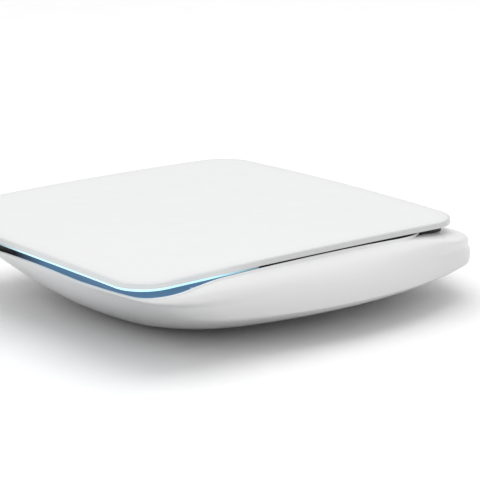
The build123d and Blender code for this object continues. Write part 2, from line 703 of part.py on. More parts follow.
# Main board, shaped after the cavity and cut straight behind the rear wall
with BuildPart() as main_board:
    extrude(housing_section(RIM - BOARD_BASE, WALL, BOARD_MARGIN), amount=BOARD)
    with Locations((0, BOARD_REAR, BOARD_BASE)):
        Box(
            2 * HOUSING_SIDE,
            HOUSING_REAR,
            BOARD,
            align=(Align.CENTER, Align.MIN, Align.MIN),
            mode=Mode.SUBTRACT,
        )
    with BuildSketch(Plane.XY.offset(BOARD_BASE)):
        with Locations(*SCREW_SPOTS):
            Circle(SCREW_SHANK + SCREW_GAP)
        with Locations(*BOARD_SCREW_SPOTS):
            Circle(BOARD_SCREW_SHANK + SCREW_GAP)
    extrude(amount=BOARD, mode=Mode.SUBTRACT)
write(main_board, "main_board")

# Light board on the neck's deck, behind the light guide
with BuildPart() as led_board:
    extrude(lit_band(DECK_TOP, LED_BOARD_OUTER, LED_BOARD_INNER), amount=LED_BOARD)
write(led_board, "led_board")

# Small lights that face outwards into the light guide
with BuildPart() as status_leds:
    for x, y, turn in LED_SPOTS:
        with Locations(Location((x, y, DECK_TOP + LED_BOARD), (0, 0, turn))):
            Box(LED_LENGTH, LED_DEPTH, LED_HEIGHT, align=(Align.CENTER, Align.CENTER, Align.MIN))
write(status_leds, "status_leds")

# Sockets for the flat cable between the light board and the main board
with BuildPart() as ribbon_sockets:
    with Locations((RIBBON_X, LED_SOCKET_Y, DECK_TOP + LED_BOARD)):
        Box(
            RIBBON_SOCKET_WIDTH,
            RIBBON_SOCKET,
            LED_SOCKET_HEIGHT,
            align=(Align.CENTER, Align.CENTER, Align.MIN),
        )
    with Locations((RIBBON_X, RIBBON_DROP_Y, BOARD_TOP)):
        Box(
            RIBBON_SOCKET_WIDTH,
            RIBBON_SOCKET,
            RIBBON_SOCKET_HEIGHT,
            align=(Align.CENTER, Align.CENTER, Align.MIN),
        )
write(ribbon_sockets, "ribbon_sockets")

# Flat cable, over the deck and down through its opening
with BuildPart() as led_ribbon:
    with BuildSketch(Plane.YZ.offset(RIBBON_X - RIBBON_WIDTH / 2)):
        with BuildLine():
            FilletPolyline(
                (LED_SOCKET_Y + RIBBON_SOCKET / 2, RIBBON_LEVEL),
                (RIBBON_DROP_Y, RIBBON_LEVEL),
                (RIBBON_DROP_Y, BOARD_TOP + RIBBON_SOCKET_HEIGHT),
                radius=RIBBON_BEND,
            )
        trace(line_width=RIBBON_THICK)
    extrude(amount=RIBBON_WIDTH)
write(led_ribbon, "led_ribbon")

# Processor, memory and storage chips
with BuildPart() as processor:
    add(board_block(PROCESSOR_CENTRE, (PROCESSOR_SIZE, PROCESSOR_SIZE), CHIP_HEIGHT))
write(processor, "processor")

with BuildPart() as memory_chip:
    add(board_block(MEMORY_CENTRE, MEMORY_SIZE, MEMORY_HEIGHT))
write(memory_chip, "memory_chip")

with BuildPart() as flash_chip:
    add(board_block(FLASH_CENTRE, FLASH_SIZE, MEMORY_HEIGHT))
write(flash_chip, "flash_chip")

# Shield can over the processor and memory, with a pad that carries heat to its roof
with BuildPart() as shield_can:
    add(board_block(CAN_CENTRE, CAN_SIZE, CAN_HEIGHT, CAN_CORNER))
    inner_size = (CAN_SIZE[0] - 2 * CAN_SHEET, CAN_SIZE[1] - 2 * CAN_SHEET)
    inner = board_block(CAN_CENTRE, inner_size, CAN_HEIGHT - CAN_SHEET, CAN_CORNER - CAN_SHEET)
    add(inner, mode=Mode.SUBTRACT)
write(shield_can, "shield_can")

with BuildPart() as thermal_pad:
    pad_base = BOARD_TOP + CHIP_HEIGHT
    pad_height = CAN_HEIGHT - CAN_SHEET - CHIP_HEIGHT
    add(board_block(PROCESSOR_CENTRE, (PROCESSOR_SIZE, PROCESSOR_SIZE), pad_height, base=pad_base))
write(thermal_pad, "thermal_pad")

# Radio modules with their shields
with BuildPart() as zigbee_module:
    add(board_block(ZIGBEE_CENTRE, ZIGBEE_SIZE, MODULE_BOARD))
write(zigbee_module, "zigbee_module")

with BuildPart() as zigbee_shield:
    shield_base = BOARD_TOP + MODULE_BOARD
    add(board_block(ZIGBEE_SHIELD_CENTRE, ZIGBEE_SHIELD_SIZE, SHIELD_HEIGHT, SHIELD_CORNER, shield_base))
write(zigbee_shield, "zigbee_shield")

with BuildPart() as wifi_module:
    add(board_block(WIFI_CENTRE, WIFI_SIZE, MODULE_BOARD))
write(wifi_module, "wifi_module")

with BuildPart() as wifi_shield:
    add(board_block(WIFI_SHIELD_CENTRE, WIFI_SHIELD_SIZE, SHIELD_HEIGHT, SHIELD_CORNER, shield_base))
write(wifi_shield, "wifi_shield")

# Antenna strip under the deck and the thin lead that joins it to its module
with BuildPart() as wifi_antenna:
    add(board_block(ANTENNA_CENTRE, ANTENNA_SIZE, -ANTENNA_THICK, base=DECK_BASE))
write(wifi_antenna, "wifi_antenna")

with BuildPart() as antenna_lead:
    with BuildLine(Plane.XZ.offset(-LEAD_Y)) as lead_path:
        FilletPolyline(
            (LEAD_START_X, DECK_BASE - ANTENNA_THICK),
            (LEAD_START_X, LEAD_LEVEL),
            (LEAD_END_X, LEAD_LEVEL),
            (LEAD_END_X, BOARD_TOP + MODULE_BOARD),
            radius=LEAD_BEND,
        )
    with BuildSketch(Plane(origin=lead_path.line @ 0, z_dir=lead_path.line % 0)):
        Circle(LEAD_RADIUS)
    sweep()
write(antenna_lead, "antenna_lead")

# Ethernet socket: insulator, metal cover, spring contacts and the transformer block behind it
with BuildPart() as ethernet_jack:
    with Locations((ETHERNET_X, JACK_FACE - JACK_LIP, BOARD_TOP)):
        Box(
            JACK_WIDTH - 2 * JACK_SHELL,
            JACK_LENGTH - JACK_LIP - JACK_SHELL,
            JACK_HEIGHT - JACK_SHELL,
            align=(Align.CENTER, Align.MAX, Align.MIN),
        )
    with Locations((ETHERNET_X, JACK_FACE - JACK_LIP, SOCKET_BASE)):
        Box(
            SOCKET_WIDTH,
            SOCKET_DEPTH,
            SOCKET_HEIGHT,
            align=(Align.CENTER, Align.MAX, Align.MIN),
            mode=Mode.SUBTRACT,
        )
        Box(
            LATCH_WIDTH,
            SOCKET_DEPTH,
            LATCH_HEIGHT,
            align=(Align.CENTER, Align.MAX, Align.MAX),
            mode=Mode.SUBTRACT,
        )
write(ethernet_jack, "ethernet_jack")

with BuildPart() as ethernet_shell:
    with Locations((ETHERNET_X, JACK_FACE, BOARD_TOP)):
        Box(JACK_WIDTH, JACK_LENGTH, JACK_HEIGHT, align=(Align.CENTER, Align.MAX, Align.MIN))
        Box(
            JACK_WIDTH - 2 * JACK_SHELL,
            JACK_LENGTH - JACK_SHELL,
            JACK_HEIGHT - JACK_SHELL,
            align=(Align.CENTER, Align.MAX, Align.MIN),
            mode=Mode.SUBTRACT,
        )
write(ethernet_shell, "ethernet_shell")

with BuildPart() as ethernet_contacts:
    ceiling = SOCKET_BASE + SOCKET_HEIGHT
    start = JACK_FACE - JACK_LIP - CONTACT_START
    for number in range(CONTACTS):
        left = ETHERNET_X + (number - (CONTACTS - 1) / 2) * CONTACT_PITCH - CONTACT_WIRE / 2
        with BuildSketch(Plane.YZ.offset(left)):
            with BuildLine():
                Polyline(
                    (start, ceiling),
                    (start - CONTACT_REACH, ceiling - CONTACT_DIP),
                    (start - CONTACT_REACH, ceiling - CONTACT_DIP + CONTACT_WIRE),
                    (start - CONTACT_FOOT, ceiling),
                    close=True,
                )
            make_face()
        extrude(amount=CONTACT_WIRE)
write(ethernet_contacts, "ethernet_contacts")

with BuildPart() as ethernet_magnetics:
    magnetics_y = JACK_FACE - JACK_LENGTH - MAGNETICS_GAP - MAGNETICS_SIZE[1] / 2
    add(board_block((ETHERNET_X, magnetics_y), MAGNETICS_SIZE[:2], MAGNETICS_SIZE[2]))
write(ethernet_magnetics, "ethernet_magnetics")

# Power inlet: a round bore with a centre pin
with BuildPart() as power_jack:
    with Locations((POWER_X, POWER_FACE, BOARD_TOP)):
        Box(POWER_WIDTH, POWER_LENGTH, POWER_HEIGHT, align=(Align.CENTER, Align.MAX, Align.MIN))
    with BuildSketch(Plane((POWER_X, POWER_FACE, BOARD_TOP + POWER_AXIS), z_dir=(0, -1, 0))):
        Circle(POWER_BORE)
    extrude(amount=POWER_BORE_DEPTH, mode=Mode.SUBTRACT)
write(power_jack, "power_jack")

with BuildPart() as power_jack_pin:
    pin_base = POWER_FACE - POWER_BORE_DEPTH
    with BuildSketch(Plane((POWER_X, pin_base, BOARD_TOP + POWER_AXIS), z_dir=(0, 1, 0))):
        Circle(POWER_PIN)
    extrude(amount=POWER_PIN_LENGTH)
    fillet(power_jack_pin.faces().sort_by(Axis.Y)[-1].edges(), POWER_PIN_ROUND)
write(power_jack_pin, "power_jack_pin")

# Rear wall with the openings for both sockets, the button and the reset pin
with BuildPart() as port_panel:
    with Locations((BAY_CENTRE, PORT_BACK, BAY_BASE + RUNNING_GAP)):
        Box(
            2 * PORT_HALF,
            PORT_PANEL,
            CARRIER_BASE - BAY_BASE - 2 * RUNNING_GAP,
            align=(Align.CENTER, Align.MIN, Align.MIN),
        )
    with BuildSketch(Plane((0, PORT_FACE, 0), x_dir=(1, 0, 0), z_dir=(0, -1, 0))):
        with Locations((ETHERNET_X, BOARD_TOP + JACK_HEIGHT / 2)):
            RectangleRounded(JACK_WIDTH + 2 * PORT_HOLE_GAP, JACK_HEIGHT + 2 * PORT_HOLE_GAP, PORT_CORNER)
        with Locations((POWER_X, BOARD_TOP + POWER_AXIS)):
            Circle(POWER_HOLE)
        with Locations((BUTTON_X, SWITCH_LEVEL)):
            Circle(BUTTON_RADIUS + FIT_GAP)
        with Locations((RESET_X, SWITCH_LEVEL)):
            Circle(PINHOLE)
    extrude(amount=PORT_PANEL, mode=Mode.SUBTRACT)
write(port_panel, "port_panel")

# Pairing button with a flange behind the rear wall
with BuildPart() as pairing_button:
    with BuildSketch(Plane((BUTTON_X, BUTTON_SEAT, SWITCH_LEVEL), z_dir=(0, 1, 0))):
        Circle(BUTTON_RADIUS)
    extrude(amount=PORT_FACE + BUTTON_PROUD - BUTTON_SEAT)
    fillet(pairing_button.faces().sort_by(Axis.Y)[-1].edges(), BUTTON_ROUND)
    with BuildSketch(Plane((BUTTON_X, BUTTON_SEAT, SWITCH_LEVEL), z_dir=(0, -1, 0))):
        Circle(BUTTON_FLANGE)
    extrude(amount=BUTTON_FLANGE_THICK)
write(pairing_button, "pairing_button")

# Push switches with a blind bore for each plunger
with BuildPart() as pairing_switch:
    with Locations((BUTTON_X, SWITCH_FACE, BOARD_TOP)):
        Box(SWITCH_WIDTH, SWITCH_LENGTH, SWITCH_HEIGHT, align=(Align.CENTER, Align.MAX, Align.MIN))
    with BuildSketch(Plane((BUTTON_X, SWITCH_FACE, SWITCH_LEVEL), z_dir=(0, -1, 0))):
        Circle(PLUNGER_RADIUS + RUNNING_GAP)
    extrude(amount=PLUNGER_HIDDEN + BUTTON_TRAVEL + RUNNING_GAP, mode=Mode.SUBTRACT)
write(pairing_switch, "pairing_switch")

with BuildPart() as reset_switch:
    with Locations((RESET_X, SWITCH_FACE, BOARD_TOP)):
        Box(SWITCH_WIDTH, SWITCH_LENGTH, SWITCH_HEIGHT, align=(Align.CENTER, Align.MAX, Align.MIN))
    with BuildSketch(Plane((RESET_X, SWITCH_FACE, SWITCH_LEVEL), z_dir=(0, -1, 0))):
        Circle(PLUNGER_RADIUS + RUNNING_GAP)
    extrude(amount=PLUNGER_HIDDEN + RESET_TRAVEL + RUNNING_GAP, mode=Mode.SUBTRACT)
write(reset_switch, "reset_switch")

# Plungers that slide in the switches
with BuildPart() as pairing_plunger:
    with BuildSketch(Plane((BUTTON_X, PLUNGER_TIP, SWITCH_LEVEL), z_dir=(0, -1, 0))):
        Circle(PLUNGER_RADIUS)
    extrude(amount=PLUNGER_TIP - SWITCH_FACE + PLUNGER_HIDDEN)
write(pairing_plunger, "pairing_plunger")

with BuildPart() as reset_plunger:
    with BuildSketch(Plane((RESET_X, RESET_TIP, SWITCH_LEVEL), z_dir=(0, -1, 0))):
        Circle(PLUNGER_RADIUS)
    extrude(amount=RESET_TIP - SWITCH_FACE + PLUNGER_HIDDEN)
write(reset_plunger, "reset_plunger")

# Capacitors, inductors, crystals and regulators of the power and clock circuits
with BuildPart() as capacitors:
    with BuildSketch(Plane.XY.offset(BOARD_TOP)):
        with Locations(*CAPACITOR_SPOTS):
            Circle(CAPACITOR_RADIUS)
    extrude(amount=CAPACITOR_HEIGHT)
    fillet(capacitors.faces().group_by(Axis.Z)[-1].edges(), CAPACITOR_ROUND)
write(capacitors, "capacitors")

with BuildPart() as inductors:
    for spot in INDUCTOR_SPOTS:
        add(board_block(spot, (INDUCTOR_SIZE, INDUCTOR_SIZE), INDUCTOR_HEIGHT))
write(inductors, "inductors")

with BuildPart() as crystals:
    for spot in CRYSTAL_SPOTS:
        add(board_block(spot, CRYSTAL_SIZE, CRYSTAL_HEIGHT))
write(crystals, "crystals")

with BuildPart() as regulators:
    for spot in REGULATOR_SPOTS:
        add(board_block(spot, (REGULATOR_SIZE, REGULATOR_SIZE), REGULATOR_HEIGHT))
write(regulators, "regulators")
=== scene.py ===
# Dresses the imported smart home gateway: camera, soft studio light and procedural materials.
# Metres, in the same frame as the solids: +Z up, lit front towards -Y, ports towards +Y.
import math

import bmesh
import bpy
from mathutils import Matrix, Vector


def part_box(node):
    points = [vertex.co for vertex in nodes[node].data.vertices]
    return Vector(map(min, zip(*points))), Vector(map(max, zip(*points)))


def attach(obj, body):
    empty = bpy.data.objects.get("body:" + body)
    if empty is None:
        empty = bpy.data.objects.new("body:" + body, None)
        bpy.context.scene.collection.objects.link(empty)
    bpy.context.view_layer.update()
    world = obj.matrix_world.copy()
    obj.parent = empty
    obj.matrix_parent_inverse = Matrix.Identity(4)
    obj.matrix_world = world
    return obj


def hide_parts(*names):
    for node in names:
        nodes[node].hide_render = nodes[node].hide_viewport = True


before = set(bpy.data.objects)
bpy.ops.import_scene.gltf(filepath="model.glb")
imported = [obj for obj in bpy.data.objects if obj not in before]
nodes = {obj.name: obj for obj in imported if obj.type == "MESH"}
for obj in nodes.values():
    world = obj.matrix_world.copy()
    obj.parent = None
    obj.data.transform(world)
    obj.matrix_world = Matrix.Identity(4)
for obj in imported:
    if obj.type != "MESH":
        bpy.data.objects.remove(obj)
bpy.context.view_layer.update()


def panel_middle():
    """The middle of the top panel in plan."""
    low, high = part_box("top_panel")
    return (low[0] + high[0]) / 2, (low[1] + high[1]) / 2


MM = 0.001
PANEL_X, PANEL_Y = panel_middle()

# The top panel, whose rim is the level that depths are counted from
RIM = 22.1 * MM
PANEL_HALF = 47.0 * MM
PANEL_CORNER = 8.9 * MM
PANEL_ARC = 1600.0 * MM
PANEL_EDGE = 1.3 * MM
PANEL_BASE = RIM - PANEL_EDGE
PANEL_CROWN = 0.64 * MM
# The panel's painted shade darkens it over this band inside its edge
EDGE_SHADE_BAND = 4.0 * MM
# A painted cyan glow, standing in for the guide's light on the panel, lies this close to its edge with
# this strength
EDGE_PAINTED_GLOW_BAND = 0.4 * MM
EDGE_PAINTED_GLOW_POWER = 0.13

# The glowing bead under the panel's edge, and the stretch of the guide that is lit
BEAD_INSET = 0.5 * MM
BEAD_HEIGHT = 0.75 * MM
BEAD_WIDTH = 1.4 * MM
BEAD_BITE = 0.05 * MM
LIT_START_X = -3.0 * MM
LIT_END_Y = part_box("light_guide")[1][1]
LIT_FADE = 7.0 * MM
# The strength of the neck's painted glow, standing in for the guide's light on it
NECK_GLOW = 0.85

# The camera, from the picture's own perspective
AZIMUTH = math.radians(54.9045)
ELEVATION = math.radians(13.5295)
DISTANCE = 10.6995 * PANEL_HALF
FOCAL_PIXELS = 2114.132
FRAME_PIXELS = 480
OFFSET_X = -51.4358
OFFSET_Y = -29.6979
ROLL = math.radians(1.5449)
SENSOR_WIDTH = 36.0
CLIP_NEAR = 0.01
CLIP_FAR = 10.0

# The studio
HORIZON_LIGHT = 0.75
ZENITH_LIGHT = 0.95
KEY_HEIGHT = 0.9
KEY_SIZE = 0.9
KEY_POWER = 3.5
FLOOR_REACH = 3.0

# Shared marks of the materials
FLOW_SCALE = 35.0
FLOW_RANGE = (0.35, 0.65)
PATCH_SCALE = 160.0
PATCH_SPREAD = 0.12
NOISE_RANGE = (0.3, 0.7)
COAT_ROUGHNESS = 0.08
BRUSH_SCALE = 900.0
BRUSH_SHADE = 0.82
BRUSH_SPREAD = 0.25
BRUSH_DEPTH = 0.02 * MM
BLACK = (0.0, 0.0, 0.0)
SHARP_ANGLE = math.radians(34.0)

# The circuit boards' traces and plated holes
TRACE_WIDTH = 0.012
TRACE_EDGE = 0.1
TRACE_LENGTH = 0.9
TRACE_PITCH = 0.16
TRACE_HEIGHT = 0.03 * MM
HOLE_CROWDING = 2.4
HOLE_RANGE = (0.10, 0.14)
HOLE_COLOUR = (0.55, 0.50, 0.32)
MASK_SCALE = 300.0
MASK_ROUGHNESS = (0.28, 0.42)

# The whites, the painted shade of the panel and the shell, the guide's own glow and the painted glows
# of the panel and the neck
PANEL_WHITES = ((0.73, 0.733, 0.736), (0.75, 0.753, 0.756))
PANEL_PAINTED_SHADE = ((0.0, 1.0), (0.7, 0.97), (0.88, 0.92), (0.95, 0.80), (1.0, 0.78))
EDGE_GLOW_COLOUR = (0.85, 0.96, 1.0)
SHELL_WHITES = ((0.745, 0.745, 0.75), (0.755, 0.755, 0.76))
SHELL_PAINTED_SHADE = ((0.0, 0.50), (0.25, 0.72), (0.55, 0.86), (0.8, 0.94), (1.0, 1.0))
SHELL_GLOSS_SCALE = 20.0
SHELL_ROUGHNESS = (0.29, 0.31)
FROST_SCALE = 900.0
FROST_COLOURS = ((0.25, 0.38, 0.42), (0.30, 0.42, 0.46))
FROST_GRAIN_SCALE = 2600.0
FROST_GRAIN = 0.02 * MM
GUIDE_GLOW_COLOUR = (0.50, 0.86, 1.0)
NECK_GLOW_COLOUR = (0.085, 0.185, 0.32)

# The housing's form: reaches from the panel's middle, depths below the panel's rim
BODY_DEPTH = RIM - 0.9 * MM
FRONT_REACH = 44.2 * MM
SIDE_REACH = 51.76 * MM
REAR_REACH = 63.1 * MM
FRONT_LIP = 2.0 * MM
HOUSING_TOP = 1.87 * MM
FRONT_WIDEST = 4.7 * MM
FRONT_BASE_INSET = 21.7 * MM
SIDE_WIDEST = 12.7 * MM
SIDE_SHOULDER = 6.4 * MM
SIDE_BASE_INSET = 26.5 * MM
TAIL_WIDEST = 13.3 * MM
TAIL_SHOULDER = 42.3 * MM
TAIL_BASE_INSET = 36.7 * MM
UNDERSIDE_POWER = 1.25
TAIL_POWER = 1.4
GROWTH_START = 2.8 * MM
BOW_START = 3.5 * MM
BOW_FULL = 8.5 * MM
RIM_CORNER = 9.4 * MM
FRONT_BASE_CORNER = 24.6 * MM
REAR_BASE_CORNER = 14.1 * MM
CORNER_LIMIT = 0.95
RIM_ARC = 1410.0 * MM
BASE_ARC = 70.5 * MM
# The housing's painted shade darkens it from this height down to its base
PAINTED_SHADE_BASE = 1.0 * MM
PAINTED_SHADE_TOP = 18.0 * MM

# The housing's upper edge: a crest along each side, low across the front
CREST_DEPTH = 1.95 * MM
CREST_Y = -8.0 * MM
CREST_ARC = 960.0 * MM
FRONT_RIM_DEPTH = 4.75 * MM
FRONT_RIM_DIP = 0.8 * MM
RIM_DIP_REACH = 19.0 * MM
RIM_PIVOT_X = 30.0 * MM
RIM_PIVOT_Y = -32.0 * MM
RIM_TURN_START = -10.0
RIM_TURN_END = 90.0
RIM_SOLVE_STEPS = 6
LIP_ROUND = 0.25 * MM
LIP_RISE = 0.5 * MM
LIP_INNER_RISE = 0.6 * LIP_RISE
LIP_WALL = 0.3 * MM
LIP_ANGLES = (90, 60, 30)
GROOVE_DEPTH = 0.4 * MM
GROOVE_GAP = 0.03 * MM
GROOVE_SEAT = 0.05 * MM
GROOVE_REAR = 40.0 * MM

# How finely the housing is drawn
LEVEL_DEPTH = 8.0 * MM
TABLE_STEPS = 80
UPPER_RINGS = 16
LOWER_RINGS = 30
LOWER_CROWDING = 1.3
ARC_STEPS = 24

# The neck and the cable bay
NECK_FRONT = 42.2 * MM
NECK_SIDE = 45.1 * MM
NECK_REAR = 46.0 * MM
NECK_FRONT_CORNER = 18.0 * MM
NECK_REAR_CORNER = 9.4 * MM
NECK_OVERLAP = 17.2 * MM
BAY_CENTRE = -4.5 * MM
BAY_HALF = 20.0 * MM
BAY_FLOOR = 4.6 * MM
BAY_LEDGE = 0.8 * MM
FIT_GAP = 0.1 * MM
PORT_HALF = BAY_HALF + 1.7 * MM
POCKET_FRONT = 24.0 * MM
OVER_TOP = 2 * RIM
PAST_TAIL = 2 * REAR_REACH


def add_camera():
    """A camera at the picture's viewing angle, made the scene's own."""
    back = Vector(
        (
            math.sin(AZIMUTH) * math.cos(ELEVATION),
            -math.cos(AZIMUTH) * math.cos(ELEVATION),
            math.sin(ELEVATION),
        )
    )
    right = Vector((math.cos(AZIMUTH), math.sin(AZIMUTH), 0.0))
    up = back.cross(right)
    forward = -back
    yaw = math.atan(OFFSET_X / FOCAL_PIXELS)
    pitch = math.atan(OFFSET_Y / FOCAL_PIXELS)
    side = math.cos(yaw) * right + math.sin(yaw) * forward
    ahead = -math.sin(yaw) * right + math.cos(yaw) * forward
    tall = math.cos(pitch) * up - math.sin(pitch) * ahead
    turned_side = math.cos(ROLL) * side - math.sin(ROLL) * tall
    turned_up = math.sin(ROLL) * side + math.cos(ROLL) * tall
    turned_ahead = math.sin(pitch) * up + math.cos(pitch) * ahead
    camera = bpy.data.cameras.new("camera")
    camera.sensor_width = SENSOR_WIDTH
    camera.sensor_fit = "HORIZONTAL"
    camera.lens = FOCAL_PIXELS / FRAME_PIXELS * SENSOR_WIDTH
    camera.clip_start = CLIP_NEAR
    camera.clip_end = CLIP_FAR
    camera.dof.use_dof = False
    holder = bpy.data.objects.new("camera", camera)
    bpy.context.scene.collection.objects.link(holder)
    turn = Matrix((turned_side, turned_up, -turned_ahead)).transposed().to_4x4()
    place = Vector((PANEL_X, PANEL_Y, RIM)) + back * DISTANCE
    holder.matrix_world = Matrix.Translation(place) @ turn
    bpy.context.scene.camera = holder


def add_key_light():
    """A soft square light straight overhead."""
    lamp = bpy.data.lights.new("key", "AREA")
    lamp.shape = "SQUARE"
    lamp.size = KEY_SIZE
    lamp.energy = KEY_POWER
    holder = bpy.data.objects.new("key", lamp)
    bpy.context.scene.collection.objects.link(holder)
    holder.location = (0.0, 0.0, KEY_HEIGHT)
    holder.rotation_euler = Vector((0.0, 0.0, -KEY_HEIGHT)).to_track_quat("-Z", "Y").to_euler()


def add_world():
    """Soft studio light that is stronger overhead than near the horizon."""
    world = bpy.data.worlds.new("studio")
    world.use_nodes = True
    tree = world.node_tree
    coordinates = tree.nodes.new("ShaderNodeTexCoord")
    separate = tree.nodes.new("ShaderNodeSeparateXYZ")
    climb = tree.nodes.new("ShaderNodeMapRange")
    climb.inputs["From Min"].default_value = 0.0
    climb.inputs["From Max"].default_value = 1.0
    climb.inputs["To Min"].default_value = HORIZON_LIGHT
    climb.inputs["To Max"].default_value = ZENITH_LIGHT
    background = tree.nodes["Background"]
    background.inputs["Color"].default_value = (1.0, 1.0, 1.0, 1.0)
    tree.links.new(coordinates.outputs["Generated"], separate.inputs["Vector"])
    tree.links.new(separate.outputs["Z"], climb.inputs["Value"])
    tree.links.new(climb.outputs["Result"], background.inputs["Strength"])
    bpy.context.scene.world = world


class Shader:
    """A small helper that adds nodes to one material and joins them."""

    def __init__(self, name):
        self.material = bpy.data.materials.new(name)
        self.material.use_nodes = True
        self.tree = self.material.node_tree
        self.bsdf = self.tree.nodes["Principled BSDF"]

    def set(self, **values):
        for socket, value in values.items():
            self.bsdf.inputs[socket.replace("_", " ")].default_value = value

    def link(self, source, target):
        self.tree.links.new(source, target)

    def node(self, kind, **values):
        made = self.tree.nodes.new(kind)
        for key, value in values.items():
            setattr(made, key, value)
        return made

    def position(self, scale=(1.0, 1.0, 1.0)):
        """Object coordinates in metres, stretched by a scale."""
        coordinates = self.node("ShaderNodeTexCoord")
        mapping = self.node("ShaderNodeMapping")
        mapping.inputs["Scale"].default_value = scale
        self.link(coordinates.outputs["Object"], mapping.inputs["Vector"])
        return mapping.outputs["Vector"]

    def axes(self):
        """The object coordinates one by one, under the names X, Y and Z."""
        separate = self.node("ShaderNodeSeparateXYZ")
        self.link(self.position(), separate.inputs["Vector"])
        return separate.outputs

    def noise(self, scale, detail=4.0, stretch=(1.0, 1.0, 1.0)):
        texture = self.node("ShaderNodeTexNoise")
        texture.inputs["Scale"].default_value = scale
        texture.inputs["Detail"].default_value = detail
        self.link(self.position(stretch), texture.inputs["Vector"])
        return texture.outputs["Fac"]

    def ramp(self, value, stops):
        """A grey that follows a value from stop to stop."""
        made = self.node("ShaderNodeValToRGB")
        elements = made.color_ramp.elements
        elements.remove(elements[1])
        for number, (place, grey) in enumerate(stops):
            element = elements[0] if number == 0 else elements.new(place)
            element.position = place
            element.color = (grey, grey, grey, 1.0)
        self.link(value, made.inputs["Fac"])
        return made.outputs["Color"]

    def edge_distance(self, half, corner, arc):
        """How far a point lies outside the panel's outline in plan, negative inside."""
        place = self.axes()
        x = self.math("SUBTRACT", place["X"], PANEL_X)
        y = self.math("SUBTRACT", place["Y"], PANEL_Y)
        over = []
        for along, across in ((x, y), (y, x)):
            bow = self.math("DIVIDE", self.math("MULTIPLY", across, across), 2 * arc)
            reach = self.math("ADD", self.math("ABSOLUTE", along, 0.0), bow)
            over.append(self.math("SUBTRACT", reach, half - corner))
        outer = [self.math("MAXIMUM", value, 0.0) for value in over]
        squares = [self.math("MULTIPLY", value, value) for value in outer]
        round_part = self.math("SQRT", self.math("ADD", *squares), 0.0)
        flat_part = self.math("MINIMUM", self.math("MAXIMUM", *over), 0.0)
        return self.math("SUBTRACT", self.math("ADD", round_part, flat_part), corner)

    def spread(self, value, low, high, into_low, into_high):
        """Maps one range onto another, kept between its ends."""
        mapped = self.node("ShaderNodeMapRange")
        for socket, number in zip(
            ("From Min", "From Max", "To Min", "To Max"), (low, high, into_low, into_high)
        ):
            mapped.inputs[socket].default_value = number
        self.link(value, mapped.inputs["Value"])
        return mapped.outputs["Result"]

    def math(self, operation, first, second):
        made = self.node("ShaderNodeMath", operation=operation)
        for socket, value in zip(made.inputs, (first, second)):
            if isinstance(value, (int, float)):
                socket.default_value = value
            else:
                self.link(value, socket)
        return made.outputs["Value"]

    def mix(self, share, first, second):
        """Two colours mixed by a share; each is a tuple or an output."""
        made = self.node("ShaderNodeMix", data_type="RGBA")
        self.link(share, made.inputs["Factor"])
        for socket, value in ((made.inputs[6], first), (made.inputs[7], second)):
            if isinstance(value, tuple):
                socket.default_value = (*value, 1.0)
            else:
                self.link(value, socket)
        return made.outputs[2]

    def bump(self, height, distance):
        made = self.node("ShaderNodeBump")
        made.inputs["Distance"].default_value = distance
        made.inputs["Strength"].default_value = 1.0
        self.link(height, made.inputs["Height"])
        self.link(made.outputs["Normal"], self.bsdf.inputs["Normal"])

    def colour(self, output):
        self.link(output, self.bsdf.inputs["Base Color"])

    def white_with_painted_shade(self, painted_shade, low, high):
        """Two near whites in soft flow marks, darkened by painted shade."""
        white = self.mix(self.noise(FLOW_SCALE, 3.0), low, high)
        self.colour(self.mix(painted_shade, BLACK, white))

    def roughness(self, output):
        self.link(output, self.bsdf.inputs["Roughness"])

    def glow(self, colour, strength):
        """One colour of light, whose strength follows an output."""
        self.set(Emission_Color=(*colour, 1.0))
        self.link(strength, self.bsdf.inputs["Emission Strength"])

    def guide_share(self):
        """One where the guide is lit and fading to nothing past both its ends."""
        place = self.axes()
        start, end = LIT_START_X, LIT_END_Y
        along_front = self.spread(place["X"], start - LIT_FADE, start + LIT_FADE, 0.0, 1.0)
        along_side = self.spread(place["Y"], end - LIT_FADE, end + LIT_FADE, 1.0, 0.0)
        return self.math("MULTIPLY", along_front, along_side)


def darker(colour, share):
    return tuple(channel * share for channel in colour)


def moulded(name, roughness, coat=0.0, specular=0.5):
    """Moulded plastic without its colour: uneven gloss, and a thin coat if asked."""
    shader = Shader(name)
    patches = shader.noise(PATCH_SCALE, 5.0)
    glossy = roughness * (1 - PATCH_SPREAD)
    dull = min(roughness * (1 + PATCH_SPREAD), 1.0)
    shader.roughness(shader.spread(patches, *NOISE_RANGE, glossy, dull))
    shader.set(Coat_Weight=coat, Coat_Roughness=COAT_ROUGHNESS, Specular_IOR_Level=specular)
    return shader


def plastic(name, colour, roughness, grain=0.0, grain_scale=2500.0, shade=0.94, specular=0.5):
    """Moulded plastic with faint flow marks in its colour and a fine grain."""
    shader = moulded(name, roughness, specular=specular)
    flow = shader.spread(shader.noise(FLOW_SCALE, 3.0), *FLOW_RANGE, 0.0, 1.0)
    shader.colour(shader.mix(flow, darker(colour, shade), colour))
    if grain:
        shader.bump(shader.noise(grain_scale, 2.0), grain)
    return shader


def metal(name, colour, roughness, stretch=(1.0, 14.0, 1.0)):
    """Rolled or brushed metal with fine marks along one way."""
    shader = Shader(name)
    brushed = shader.noise(BRUSH_SCALE, 3.0, stretch)
    marks = shader.spread(brushed, *NOISE_RANGE, 0.0, 1.0)
    shader.colour(shader.mix(marks, darker(colour, BRUSH_SHADE), colour))
    glossy = roughness * (1 - BRUSH_SPREAD)
    dull = roughness * (1 + BRUSH_SPREAD)
    shader.roughness(shader.spread(brushed, *NOISE_RANGE, glossy, dull))
    shader.bump(brushed, BRUSH_DEPTH)
    shader.set(Metallic=1.0)
    return shader


